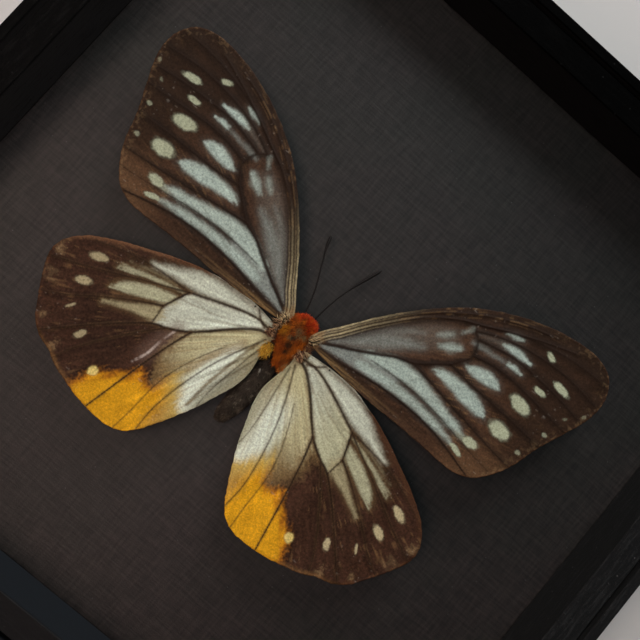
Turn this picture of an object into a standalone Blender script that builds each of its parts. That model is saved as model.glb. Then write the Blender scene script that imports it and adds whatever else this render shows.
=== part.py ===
"""Framed butterfly specimen: a shallow black box, open at the front, with one set butterfly in it.

Units are metres. The box lies on its back: +Z comes out of the open front, +Y is the side that the
butterfly's head points to, and the origin is the centre of the back face.
"""

import math

import bmesh
import bpy
from mathutils import Matrix, Vector

MM = 0.001
FIT_GAP = 0.3 * MM

# The box, from the back to the front.
INNER_SIZE = 120.0 * MM
LINER_WIDTH = 4.6 * MM
SLOT_WIDTH = 0.9 * MM
RAIL_WIDTH = 1.8 * MM
BACK_BOARD_THICKNESS = 2.5 * MM
MOUNT_BOARD_THICKNESS = 2.5 * MM
BOX_DEPTH = 11.0 * MM
EDGE_BEVEL = 0.15 * MM

LINER_OUTER = INNER_SIZE / 2 + LINER_WIDTH
RAIL_INNER = LINER_OUTER + SLOT_WIDTH
RAIL_OUTER = RAIL_INNER + RAIL_WIDTH
MOUNT_BOARD_BOTTOM = BACK_BOARD_THICKNESS + FIT_GAP
MOUNT_BOARD_TOP = MOUNT_BOARD_BOTTOM + MOUNT_BOARD_THICKNESS
RIM_HEIGHT = MOUNT_BOARD_TOP + BOX_DEPTH

# The butterfly. Its own axis is a little to the left of the box's.
BODY_X = -1.9 * MM
BODY_Y = -3.0 * MM
WING_THICKNESS = 0.3 * MM
HINDWING_HEIGHT = 4.0 * MM
FOREWING_HEIGHT = 4.65 * MM
WING_RISE = {"left": math.radians(0.0), "right": math.radians(2.5)}
FOREWING_SWEEP = {"left": math.radians(-0.9), "right": math.radians(0.9)}
HINDWING_SWEEP = {"left": math.radians(1.3), "right": math.radians(0.9)}
SPLINE_STEPS = 4
RING_SIDES = 18
BODY_STATIONS = 11
BODY_ROUNDNESS = 0.8

# Outlines of the right wings in millimetres from the thorax's centre, x along the wing, y to the head.
FOREWING_OUTLINE = (
    (2.9, 3.5), (9.2, 13.0), (17.0, 21.4), (25.6, 27.3), (35.2, 30.7),
    (42.9, 30.9), (46.9, 27.6), (46.6, 21.7), (43.4, 13.9), (41.1, 6.6),
    (37.1, 1.5), (31.7, 0.5), (21.0, 0.8), (9.8, 0.9), (3.3, 1.9),
)
HINDWING_OUTLINE = (
    (3.4, -1.6), (7.6, 0.1), (13.2, 0.7), (18.5, 0.0), (28.0, -3.9),
    (36.5, -8.5), (38.9, -13.8), (36.0, -20.5), (31.0, -25.7), (23.5, -28.9),
    (14.6, -29.9), (9.5, -27.4), (6.0, -20.0), (2.9, -11.6), (2.3, -8.0), (2.8, -4.6),
)

# Body parts in millimetres from the thorax's centre: rear and front ends along y, half sizes, the height
# of the middle above the mount board, and how far the rear end is bent to the side.
THORAX = {"rear": -5.0, "front": 3.2, "half_width": 3.0, "half_height": 3.2, "middle": 3.5, "bend": -0.3}
HEAD = {"rear": 3.5, "front": 5.5, "half_width": 2.0, "half_height": 1.8, "middle": 3.9, "bend": 0.0}
ABDOMEN = {"rear": -18.2, "front": -5.3, "half_width": 2.1, "half_height": 1.5, "middle": 1.8, "bend": -0.5}

# The antennae's routes in millimetres from the thorax's centre, with the height above the mount board.
ANTENNAE = {
    "left": ((-1.2, 6.1, 4.0), (-2.4, 9.0, 3.6), (-4.3, 13.0, 2.8), (-5.7, 16.0, 2.3), (-6.4, 18.0, 2.0)),
    "right": ((0.8, 6.1, 4.0), (1.0, 8.0, 3.7), (1.5, 11.1, 3.2), (2.5, 14.8, 2.5), (4.0, 19.2, 2.0)),
}
ANTENNA_RADIUS = 0.11 * MM
CLUB_RADIUS = 0.2 * MM
CLUB_START = 0.62

# Each material's colour in linear light, and its roughness.
FINISHES = {
    "frame_black": ((0.012, 0.012, 0.012), 0.6),
    "liner_black": ((0.015, 0.016, 0.016), 0.75),
    "backing_linen": ((0.030, 0.026, 0.025), 0.85),
    "back_board": ((0.09, 0.06, 0.04), 0.85),
    "forewing": ((0.10, 0.07, 0.05), 0.6),
    "hindwing": ((0.50, 0.45, 0.30), 0.6),
    "thorax_fur": ((0.45, 0.12, 0.01), 0.9),
    "head_fur": ((0.50, 0.06, 0.01), 0.9),
    "abdomen_fur": ((0.03, 0.022, 0.018), 0.9),
    "antenna": ((0.01, 0.008, 0.007), 0.5),
}


def clear_scene():
    for item in list(bpy.data.objects):
        bpy.data.objects.remove(item, do_unlink=True)


def make_material(name):
    color, roughness = FINISHES[name]
    material = bpy.data.materials.new(name)
    material.use_nodes = True
    shader = material.node_tree.nodes["Principled BSDF"]
    shader.inputs["Base Color"].default_value = (*color, 1.0)
    shader.inputs["Roughness"].default_value = roughness
    shader.inputs["Metallic"].default_value = 0.0
    return material


def add_object(name, mesh, material):
    item = bpy.data.objects.new(name, mesh)
    bpy.context.scene.collection.objects.link(item)
    mesh.materials.append(material)
    return item


def finish_mesh(shape, name):
    bmesh.ops.recalc_face_normals(shape, faces=shape.faces)
    mesh = bpy.data.meshes.new(name)
    shape.to_mesh(mesh)
    shape.free()
    return mesh


def add_bevel(item, width):
    bevel = item.modifiers.new("edge", "BEVEL")
    bevel.width = width
    bevel.segments = 1
    bevel.limit_method = "ANGLE"


def add_board(name, half_size, bottom, thickness, material):
    """A flat square board."""
    shape = bmesh.new()
    bmesh.ops.create_cube(shape, size=1.0)
    bmesh.ops.scale(shape, vec=(2 * half_size, 2 * half_size, thickness), verts=shape.verts)
    bmesh.ops.translate(shape, vec=(0, 0, bottom + thickness / 2), verts=shape.verts)
    board = add_object(name, finish_mesh(shape, name), material)
    add_bevel(board, EDGE_BEVEL)
    return board


def add_mitred_strip(name, inner, outer, bottom, top, turn, material):
    """One side of a square frame. turn is its angle about +Z from the +Y side."""
    half_gap = FIT_GAP / math.sqrt(2)
    corners = (
        (-inner + half_gap, inner),
        (inner - half_gap, inner),
        (outer - half_gap, outer),
        (-outer + half_gap, outer),
    )
    shape = bmesh.new()
    face = shape.faces.new([shape.verts.new((x, y, bottom)) for x, y in corners])
    side = bmesh.ops.extrude_face_region(shape, geom=[face])
    raised = [part for part in side["geom"] if isinstance(part, bmesh.types.BMVert)]
    bmesh.ops.translate(shape, vec=(0, 0, top - bottom), verts=raised)
    bmesh.ops.rotate(shape, matrix=Matrix.Rotation(turn, 3, "Z"), verts=shape.verts)
    strip = add_object(name, finish_mesh(shape, name), material)
    add_bevel(strip, EDGE_BEVEL)
    return strip


def add_square_frame(prefix, inner, outer, bottom, top, material):
    for number, side in enumerate(("top", "left", "bottom", "right")):
        turn = number * math.pi / 2
        add_mitred_strip(f"{prefix}_{side}", inner, outer, bottom, top, turn, material)


def smooth_loop(points, steps):
    """Points along a closed Catmull-Rom curve through the given ones."""
    loop = []
    count = len(points)
    for index in range(count):
        before, start, end, after = (Vector(points[(index + k) % count]) for k in (-1, 0, 1, 2))
        for step in range(steps):
            t = step / steps
            loop.append(
                0.5 * (
                    2 * start
                    + (end - before) * t
                    + (2 * before - 5 * start + 4 * end - after) * t ** 2
                    + (3 * start - before - 3 * end + after) * t ** 3
                )
            )
    return loop


def add_wing(name, outline, height, side, turn, material):
    """A thin wing, turned in its own plane and, on the right, rising a little towards its tip."""
    mirror = -1 if side == "left" else 1
    root = Vector(outline[0]) * MM
    sweep = Matrix.Rotation(turn, 2)
    shape = bmesh.new()
    rim = []
    for point in smooth_loop(outline, SPLINE_STEPS):
        place = root + sweep @ (point * MM - root)
        lift = height + place.x * math.tan(WING_RISE[side])
        rim.append(shape.verts.new((BODY_X + mirror * place.x, BODY_Y + place.y, MOUNT_BOARD_TOP + lift)))
    face = shape.faces.new(rim)
    upper = bmesh.ops.extrude_face_region(shape, geom=[face])
    raised = [part for part in upper["geom"] if isinstance(part, bmesh.types.BMVert)]
    bmesh.ops.translate(shape, vec=(0, 0, WING_THICKNESS), verts=raised)
    bmesh.ops.triangulate(shape, faces=shape.faces)
    return add_object(name, finish_mesh(shape, name), material)


def add_body_part(name, form, material):
    """A rounded body part along y, flattened underneath where it comes close to the mount board."""
    length = form["front"] - form["rear"]
    lowest = MOUNT_BOARD_TOP + FIT_GAP
    shape = bmesh.new()
    rings = []
    for station in range(1, BODY_STATIONS):
        angle = math.pi * station / BODY_STATIONS
        along = (1 - math.cos(angle)) / 2
        girth = math.sin(angle) ** BODY_ROUNDNESS
        centre = Vector((
            BODY_X + form["bend"] * MM * (1 - along),
            BODY_Y + (form["rear"] + length * along) * MM,
            MOUNT_BOARD_TOP + form["middle"] * MM,
        ))
        ring = []
        for side in range(RING_SIDES):
            turn = 2 * math.pi * side / RING_SIDES
            x = centre.x + form["half_width"] * MM * girth * math.cos(turn)
            z = centre.z + form["half_height"] * MM * girth * math.sin(turn)
            ring.append(shape.verts.new((x, centre.y, max(z, lowest))))
        rings.append(ring)
    for lower, upper in zip(rings, rings[1:]):
        for side in range(RING_SIDES):
            after = (side + 1) % RING_SIDES
            shape.faces.new((lower[side], lower[after], upper[after], upper[side]))
    shape.faces.new(rings[0])
    shape.faces.new(rings[-1])
    item = add_object(name, finish_mesh(shape, name), material)
    item.data.shade_smooth()
    return item


def add_antenna(side, material):
    """A thread-like antenna that thickens into a slim club."""
    route = [Vector(point) for point in ANTENNAE[side]]
    curve = bpy.data.curves.new(f"antenna_{side}", "CURVE")
    curve.dimensions = "3D"
    curve.bevel_depth = ANTENNA_RADIUS
    curve.bevel_resolution = 2
    curve.use_fill_caps = True
    spline = curve.splines.new("POLY")
    spline.points.add(len(route) - 1)
    for number, (point, place) in enumerate(zip(spline.points, route)):
        along = number / (len(route) - 1)
        club = max(0.0, (along - CLUB_START) / (1 - CLUB_START))
        spot = (BODY_X + place.x * MM, BODY_Y + place.y * MM, MOUNT_BOARD_TOP + place.z * MM)
        point.co = (*spot, 1.0)
        point.radius = 1 + (CLUB_RADIUS / ANTENNA_RADIUS - 1) * club
    item = bpy.data.objects.new(f"antenna_{side}", curve)
    bpy.context.scene.collection.objects.link(item)
    curve.materials.append(material)
    return item


def build_box():
    linen = make_material("backing_linen")
    add_board("back_board", RAIL_INNER - FIT_GAP, 0.0, BACK_BOARD_THICKNESS, make_material("back_board"))
    add_board("mount_board", RAIL_INNER - FIT_GAP, MOUNT_BOARD_BOTTOM, MOUNT_BOARD_THICKNESS, linen)
    add_square_frame("frame_rail", RAIL_INNER, RAIL_OUTER, 0.0, RIM_HEIGHT, make_material("frame_black"))
    liner_bottom = MOUNT_BOARD_TOP + FIT_GAP
    liner_black = make_material("liner_black")
    add_square_frame("liner", INNER_SIZE / 2, LINER_OUTER, liner_bottom, RIM_HEIGHT, liner_black)


def build_butterfly():
    forewing = make_material("forewing")
    hindwing = make_material("hindwing")
    antenna = make_material("antenna")
    for side in ("left", "right"):
        add_wing(f"forewing_{side}", FOREWING_OUTLINE, FOREWING_HEIGHT, side, FOREWING_SWEEP[side], forewing)
        add_wing(f"hindwing_{side}", HINDWING_OUTLINE, HINDWING_HEIGHT, side, HINDWING_SWEEP[side], hindwing)
        add_antenna(side, antenna)
    add_body_part("thorax", THORAX, make_material("thorax_fur"))
    add_body_part("head", HEAD, make_material("head_fur"))
    add_body_part("abdomen", ABDOMEN, make_material("abdomen_fur"))


clear_scene()
build_box()
build_butterfly()
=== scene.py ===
"""Looks of the framed butterfly specimen. Metres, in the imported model's frame: +Z out of the open front."""

import math

import bpy
import numpy as np
from mathutils import Matrix, Vector
from mathutils.geometry import delaunay_2d_cdt


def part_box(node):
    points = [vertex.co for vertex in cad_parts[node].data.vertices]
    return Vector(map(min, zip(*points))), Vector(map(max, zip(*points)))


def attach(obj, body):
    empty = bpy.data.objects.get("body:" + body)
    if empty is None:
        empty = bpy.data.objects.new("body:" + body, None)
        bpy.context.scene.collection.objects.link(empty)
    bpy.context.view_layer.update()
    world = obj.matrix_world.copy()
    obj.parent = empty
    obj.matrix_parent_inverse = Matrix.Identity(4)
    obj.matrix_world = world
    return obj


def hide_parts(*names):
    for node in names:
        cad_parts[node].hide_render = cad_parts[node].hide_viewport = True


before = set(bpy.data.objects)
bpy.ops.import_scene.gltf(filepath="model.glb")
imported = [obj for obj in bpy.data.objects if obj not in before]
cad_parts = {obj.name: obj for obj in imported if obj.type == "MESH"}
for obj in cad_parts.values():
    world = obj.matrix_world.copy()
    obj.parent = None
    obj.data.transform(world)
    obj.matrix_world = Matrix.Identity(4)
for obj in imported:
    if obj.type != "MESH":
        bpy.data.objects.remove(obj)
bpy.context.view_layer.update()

MM = 0.001
RNG = np.random.default_rng(7)

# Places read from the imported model.
BOARD_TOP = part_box("mount_board")[1].z
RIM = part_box("frame_rail_top")[1].z
THORAX_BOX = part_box("thorax")
HEAD_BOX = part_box("head")
BODY_X = (HEAD_BOX[0].x + HEAD_BOX[1].x) / 2
BODY_Y = (THORAX_BOX[0].y + THORAX_BOX[1].y) / 2 + 0.9 * MM

# How the wings are set, in millimetres and degrees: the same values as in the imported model's own wings.
WING_HEIGHT = {"fore": 4.65, "hind": 4.0}
WING_RISE = {"left": 0, "right": 2.5}
WING_SWEEP = {("fore", "left"): -0.9, ("fore", "right"): 0.9, ("hind", "left"): 1.3, ("hind", "right"): 0.9}
WING_ROOT = {"fore": (2.9, 3.5), "hind": (3.4, -1.6)}

# Outlines of the right wings in millimetres from the thorax's centre, x along the wing, y to the head.
FOREWING_OUTLINE = (
    (2.1, 3.1), (3.2, 5), (5.4, 7.9), (9, 12.9), (12.9, 17.4), (17, 21.5), (21.5, 24.9), (26, 27.4),
    (31, 29.4), (35.5, 30.6), (39.8, 31.1), (42.8, 30.8), (45.2, 29.6), (46.8, 27.2), (47.2, 24.2),
    (46.7, 21.2), (45.3, 17.6), (43.9, 14.4), (42.8, 11.3), (42, 8.6), (41, 6.2), (39.4, 3.6), (37.5, 1.7),
    (35, 0.6), (31.7, 0.4), (26, 0.6), (20, 0.6), (14, 0.6), (8.5, 1), (4.6, 1.35), (2.2, 1.9),
)
HINDWING_OUTLINE = (
    (2.3, -1.3), (3.3, 0.1), (7.6, 0.7), (13.2, 0.6), (17.5, -0.4), (22, -1.9), (27, -4.2), (31.5, -6.4),
    (35.4, -8.8), (37.8, -11.4), (38.7, -14), (38.1, -16.6), (36.6, -19.3), (35, -21.9), (33, -24.6),
    (30.6, -26.3), (28.3, -26.9), (25.6, -28.2), (22, -29.2), (18.5, -29.9), (14.6, -30.1), (11.8, -29.7),
    (9.6, -28.2), (7.9, -25.8), (6, -22.2), (4.3, -18.6), (2.8, -14.6), (1.8, -11.4), (1.5, -8.6), (2, -5.4),
    (2.4, -3),
)
OUTLINES = {"fore": FOREWING_OUTLINE, "hind": HINDWING_OUTLINE}
FAR = 1e9


# ---- numbers and fields on the wing plane ----

def smooth_curve(points, steps, closed=False):
    """Points along a Catmull-Rom curve through the given ones."""
    given = np.array(points, float)
    count = len(given)
    result = []
    for index in range(count if closed else count - 1):
        picks = np.arange(index - 1, index + 3)
        before, start, end, after = given[picks % count if closed else np.clip(picks, 0, count - 1)]
        for step in range(steps):
            t = step / steps
            result.append(0.5 * (
                2 * start + (end - before) * t
                + (2 * before - 5 * start + 4 * end - after) * t ** 2
                + (3 * start - before - 3 * end + after) * t ** 3
            ))
    if not closed:
        result.append(given[-1])
    return np.array(result)


def ease(low, high, value):
    """0 at low and 1 at high, with a soft start and end."""
    t = np.clip((value - low) / (high - low), 0, 1)
    return t * t * (3 - 2 * t)


NOISE_CELLS = 256
NOISE_TABLE = np.random.default_rng(11).random((NOISE_CELLS, NOISE_CELLS))
SEED_SHIFT = (17.3, 31.7)


def noise(x, y, size, seed=0):
    """Smooth value noise from -1 to 1, size millimetres across."""
    u = x / size + SEED_SHIFT[0] * seed
    v = y / size + SEED_SHIFT[1] * seed
    iu = np.floor(u).astype(int)
    iv = np.floor(v).astype(int)
    fu, fv = ease(0, 1, u - iu), ease(0, 1, v - iv)

    def corner(a, b):
        return NOISE_TABLE[(iu + a) % NOISE_CELLS, (iv + b) % NOISE_CELLS]

    low = corner(0, 0) * (1 - fu) + corner(1, 0) * fu
    high = corner(0, 1) * (1 - fu) + corner(1, 1) * fu
    return 2 * (low * (1 - fv) + high * fv) - 1


def along_line(x, y, line):
    """Distance from each point to a polyline, and how far along it the nearest place is, 0 to 1."""
    line = np.asarray(line, float)
    lengths = np.hypot(*np.diff(line, axis=0).T)
    starts = np.concatenate([[0], np.cumsum(lengths)])
    best = np.full(x.shape, FAR)
    where = np.zeros(x.shape)
    for (ax, ay), (bx, by), length, start in zip(line, line[1:], lengths, starts):
        t = np.clip(((x - ax) * (bx - ax) + (y - ay) * (by - ay)) / max(length ** 2, 1e-12), 0, 1)
        d = np.hypot(x - ax - t * (bx - ax), y - ay - t * (by - ay))
        closer = d < best
        best = np.where(closer, d, best)
        where = np.where(closer, (start + t * length) / starts[-1], where)
    return best, where


def along_curve(x, y, points, steps=6):
    return along_line(x, y, smooth_curve(points, steps))


def inside(x, y, loop):
    """Signed distance to a closed loop, positive inside."""
    loop = np.asarray(loop, float)
    distance, _ = along_line(x, y, np.vstack([loop, loop[:1]]))
    odd = np.zeros(x.shape, bool)
    for (ax, ay), (bx, by) in zip(loop, np.roll(loop, -1, axis=0)):
        crosses = (ay > y) != (by > y)
        with np.errstate(divide="ignore", invalid="ignore"):
            cut = ax + (y - ay) * (bx - ax) / np.where(by == ay, 1e-9, by - ay)
        odd ^= crosses & (x < cut)
    return np.where(odd, distance, -distance)


def srgb(*levels):
    """Linear colour of an sRGB colour given as levels from 0 to 255."""
    values = np.array(levels, float) / 255
    return np.where(values <= 0.04045, values / 12.92, ((values + 0.055) / 1.055) ** 2.4)


def mix(base, color, mask):
    return base + (color - base) * mask[..., None]


def unit(vectors):
    return vectors / np.linalg.norm(vectors, axis=-1, keepdims=True)


# ---- venation: (points, half width at the start and end in mm, darkness, relief in mm) ----

FOREWING_VEINS = (
    (((3.2, 3.4), (6.5, 8.6), (10.5, 13.9), (14.5, 18.2), (18.6, 21.6), (23.5, 24.8), (29, 27.4), (34, 29)),
     0.2, 0.12, 0.7, 0.12),
    (((3.3, 3), (7, 8.2), (10.5, 12.6), (14.6, 17.2), (19, 20.6), (22.5, 22.3), (27, 24.6), (33, 27.2),
     (38.5, 29.2)), 0.2, 0.1, 0.7, 0.12),
    (((20.2, 21.3), (25, 23.5), (30, 25.8), (35.5, 27.3), (41, 28), (45.4, 28)), 0.12, 0.08, 0.6, 0.07),
    (((22.8, 21.2), (26.5, 22.9), (30.5, 24.1), (35, 24.8), (40.5, 25), (46.6, 24.2)), 0.14, 0.09, 0.8, 0.08),
    (((24.2, 20.4), (27.5, 21.2), (31.5, 21.8), (36, 21.7), (41, 21.3), (46, 20.5)), 0.14, 0.09, 0.8, 0.08),
    (((22.6, 21.3), (24.2, 19.9), (25, 17.6), (24.2, 16), (23, 14.2)), 0.12, 0.14, 0.7, 0.07),
    (((25, 17.6), (28, 18.4), (32, 18.7), (36.5, 18.4), (41, 17.9), (45.2, 17.5)), 0.15, 0.09, 0.8, 0.08),
    (((3.4, 2.6), (6, 4.1), (9, 5.6), (12.5, 7.6), (15.2, 9.2), (18, 10.3), (20.4, 12.1), (23, 14.2)),
     0.2, 0.16, 1, 0.1),
    (((23, 14.2), (27, 13.7), (32, 13.5), (37, 13.3), (43.2, 12.8)), 0.14, 0.09, 0.8, 0.08),
    (((18, 10.3), (22, 9.7), (27, 8.9), (33, 8), (38, 7.3), (41.4, 7)), 0.15, 0.09, 0.8, 0.08),
    (((3.4, 2.2), (6.5, 2.2), (10.5, 2.8), (15, 3.5), (20, 3.9), (25, 3.8), (30, 3.1), (36.6, 1.4)),
     0.18, 0.1, 1, 0.09),
    (((12.5, 6.1), (17, 6.5), (22, 6.5), (27, 6.1), (31, 5.4), (36, 4.6), (40, 4.2)), 0.1, 0.06, 0.5, -0.04),
)
HINDWING_VEINS = (
    (((4.6, -1.3), (6.2, -0.5), (7.4, 0.5)), 0.12, 0.1, 0.8, 0.05),
    (((3.2, -1.1), (6, -0.8), (9, -1.5), (12.5, -2.9), (17.6, -5.1)), 0.16, 0.14, 0.9, 0.09),
    (((17.6, -5.1), (21, -5.4), (25.5, -6), (30, -7.2), (36, -9.6)), 0.13, 0.08, 0.8, 0.07),
    (((17.7, -5.2), (21, -6.9), (25, -8.9), (29, -11.1), (33.5, -13.4), (38.3, -15.6)),
     0.13, 0.08, 0.9, 0.07),
    (((17.6, -5.1), (18.4, -7.2), (19.3, -9.6)), 0.14, 0.14, 1, 0.07),
    (((19.3, -9.6), (19, -11.4), (18.8, -13)), 0.1, 0.12, 0.8, 0.05),
    (((19.3, -9.6), (22, -11.2), (25, -13.2), (28.5, -15.8), (32, -18.6), (35.6, -20.8)),
     0.15, 0.08, 0.9, 0.07),
    (((3.3, -1.4), (5.5, -2.4), (8.5, -5), (11.2, -7.9), (13.6, -10.2), (16.4, -11.9), (18.8, -13),
     (22.5, -16.3), (26.5, -20.4), (31.3, -25.6)), 0.2, 0.09, 1, 0.1),
    (((16.4, -11.9), (19.5, -15.6), (22.5, -19.8), (25.2, -24), (26.8, -27.6)), 0.12, 0.08, 0.8, 0.07),
    (((13, -9.8), (14, -13), (15.2, -18), (16.1, -22.5), (17.5, -29.8)), 0.13, 0.08, 1, 0.07),
    (((7.2, -7.6), (9.4, -12.2), (10.9, -16.5), (11.6, -20.5), (11.7, -25), (12, -29.6)),
     0.06, 0.07, 0.6, -0.06),
    (((3.2, -2.6), (5, -6.4), (6.6, -10.4), (7.8, -14.4), (8.8, -19), (9.3, -23.4), (9.1, -27.4)),
     0.11, 0.07, 0.7, 0.07),
    (((2.8, -3.4), (3.4, -7.4), (4.1, -12.4), (4.4, -16.2), (4.2, -18.4)), 0.09, 0.05, 0.6, 0.05),
)

VEINS = {"fore": FOREWING_VEINS, "hind": HINDWING_VEINS}


def vein_fields(x, y, veins):
    """For each vein: every point's distance to it, its half width there, its darkness and its relief."""
    for line, start_width, end_width, darkness, relief in veins:
        distance, where = along_curve(x, y, line)
        yield distance, start_width + (end_width - start_width) * where, darkness, relief


# ---- wing colours ----

BROWN = srgb(70, 49, 34)
BROWN_DEEP = srgb(40, 28, 20)
BROWN_LOW = srgb(102, 76, 52)
BROWN_RED = srgb(60, 39, 28)
BROWN_RED_DEEP = srgb(50, 32, 23)
FIBRE = srgb(132, 102, 66)
GREY_BROWN = srgb(96, 92, 84)
BLUE_WHITE = srgb(164, 183, 174)
BLUE_GREY = srgb(130, 141, 136)
SPOT_CREAM = srgb(168, 177, 150)
SPOT_HIND = srgb(186, 176, 138)
SPOT_YELLOW = srgb(214, 196, 118)
CREAM = srgb(178, 181, 150)
CREAM_DARK = srgb(158, 153, 120)
CREAM_YELLOW = srgb(182, 179, 141)
CREAM_WHITE = srgb(190, 199, 182)
WHITE = srgb(214, 226, 209)
OLIVE = srgb(134, 112, 72)
STAIN = srgb(196, 172, 92)
YELLOW = srgb(216, 160, 27)
AMBER = srgb(182, 114, 22)
TAN = srgb(174, 138, 70)
BEIGE = srgb(150, 146, 116)
FOLD_PALE = srgb(196, 186, 176)
VEIN_DARK = srgb(34, 23, 16)
VEIN_SIDE = srgb(84, 64, 40)
RIDGE_PALE = srgb(148, 138, 106)
RIDGE_ROOT = srgb(184, 172, 134)
RIDGE_GOLD = srgb(112, 88, 58)
EDGE_BROWN = srgb(96, 64, 40)
MARGIN_BEIGE = srgb(140, 116, 82)
SPECK_BLACK = srgb(12, 10, 9)
DUST = srgb(170, 165, 155)
MARGIN_DARK = srgb(46, 34, 24)
MARGIN_GOLD = srgb(132, 108, 70)
ROOT_GOLD = srgb(128, 98, 64)
CELL_BROWN = srgb(96, 82, 58)
FOLD_BROWN = srgb(104, 84, 72)
FRONT_BROWN = {"left": srgb(108, 76, 52), "right": srgb(74, 48, 31)}
LOBE_BROWN = srgb(128, 96, 56)


FAN_RADIUS = 22


def fan(x, y, root, long, wide, seed):
    """Streaky noise that runs outward from the wing's root, in streaks about long by wide millimetres."""
    reach = np.hypot(x - root[0], y - root[1])
    arc = FAN_RADIUS * np.arctan2(y - root[1], x - root[0])
    return noise(reach / long, arc / wide, 1, seed)


def scales(x, y, seed):
    """The speckle of single wing scales."""
    return 0.6 * noise(x, y, 0.34, seed) + 0.4 * noise(x, y, 0.19, seed + 1)


def stroke(x, y, root, line, soft, ragged, seed):
    """How far a point lies in a brush stroke of (x, y, half width) points; its ends are the most streaky."""
    line = smooth_curve(line, 6)
    distance, where = along_line(x, y, line[:, :2])
    steps = np.hypot(*np.diff(line[:, :2], axis=0).T)
    share = np.concatenate([[0], np.cumsum(steps)]) / steps.sum()
    width = np.interp(where, share, line[:, 2])
    rough = 0.8 * fan(x, y, root, 1.8, 0.26, seed) + 0.6 * scales(x, y, seed + 3)
    ends = 0.5 + 0.9 * np.abs(2 * where - 1) ** 3
    lying = width - distance + ragged * ends * rough
    return ease(-soft, soft, lying), ease(-soft - 0.9, soft, lying)


def spots(color, x, y, places, seed, tint):
    """Oval spots of pale scales: (x, y, half length, half width, turn in degrees, strength)."""
    for number, (cx, cy, long, wide, turn, strength) in enumerate(places):
        a = math.radians(turn)
        u = (x - cx) * math.cos(a) + (y - cy) * math.sin(a)
        v = -(x - cx) * math.sin(a) + (y - cy) * math.cos(a)
        r = np.hypot(u / long, v / wide) + 0.12 * noise(u, v, 0.8, seed + number)
        r = r + (0.12 / max(wide, 0.4)) * scales(x, y, seed + number)
        color = mix(color, tint * 0.5, 0.5 * strength * ease(1.38, 1, r))
        tone = 1 + 0.14 * scales(x, y, seed + 5)
        color = mix(color, tint * tone[..., None], strength * ease(1.12, 0.86, r))
    return color


def ground(x, y, root, pale, deep, veins, seed):
    """Brown scales: deeper beside the veins, streaked outward, with a few golden fibres."""
    nearest = np.min([along_curve(x, y, line, 4)[0] for line, *_ in veins], axis=0)
    color = mix(deep, pale, ease(0.1, 1.2, nearest + 0.3 * fan(x, y, root, 2.5, 0.3, seed)))
    tone = 0.18 * noise(x, y, 4, seed + 1) + 0.22 * fan(x, y, root, 3, 0.3, seed + 2)
    tone = tone + 0.5 * scales(x, y, seed + 3)
    color = color * (1 + tone)[..., None]
    fibre = ease(0.4, 0.85, fan(x, y, root, 1.6, 0.15, seed + 5))
    return mix(color, FIBRE, 0.42 * fibre * ease(-0.4, 0.6, noise(x, y, 3.5, seed + 6)))


def dust(color, x, y, seed, share):
    """A scatter of pale dust grains and loose scales."""
    grain = ease(0.8, 0.92, noise(x, y, 0.42, seed)) * ease(0, 0.5, noise(x, y, 5, seed + 1))
    return mix(color, DUST, share * grain)


def paint_veins(color, x, y, veins, seed, halo, shade, beside):
    """Dark veins with ragged sides, halo half widths wide, of the colour beside and as strong as shade."""
    for distance, width, darkness, _ in vein_fields(x, y, veins):
        ragged = distance + 0.12 * scales(x, y, seed) + 0.08 * noise(x, y, 0.7, seed + 1)
        color = mix(color, beside, shade * darkness * ease(width * halo, width * 0.6, ragged))
        core = ease(width * 1.75, width * 0.7, distance + 0.05 * scales(x, y, seed + 2))
        color = mix(color, VEIN_DARK, 0.9 * darkness * core)
    return color


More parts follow.
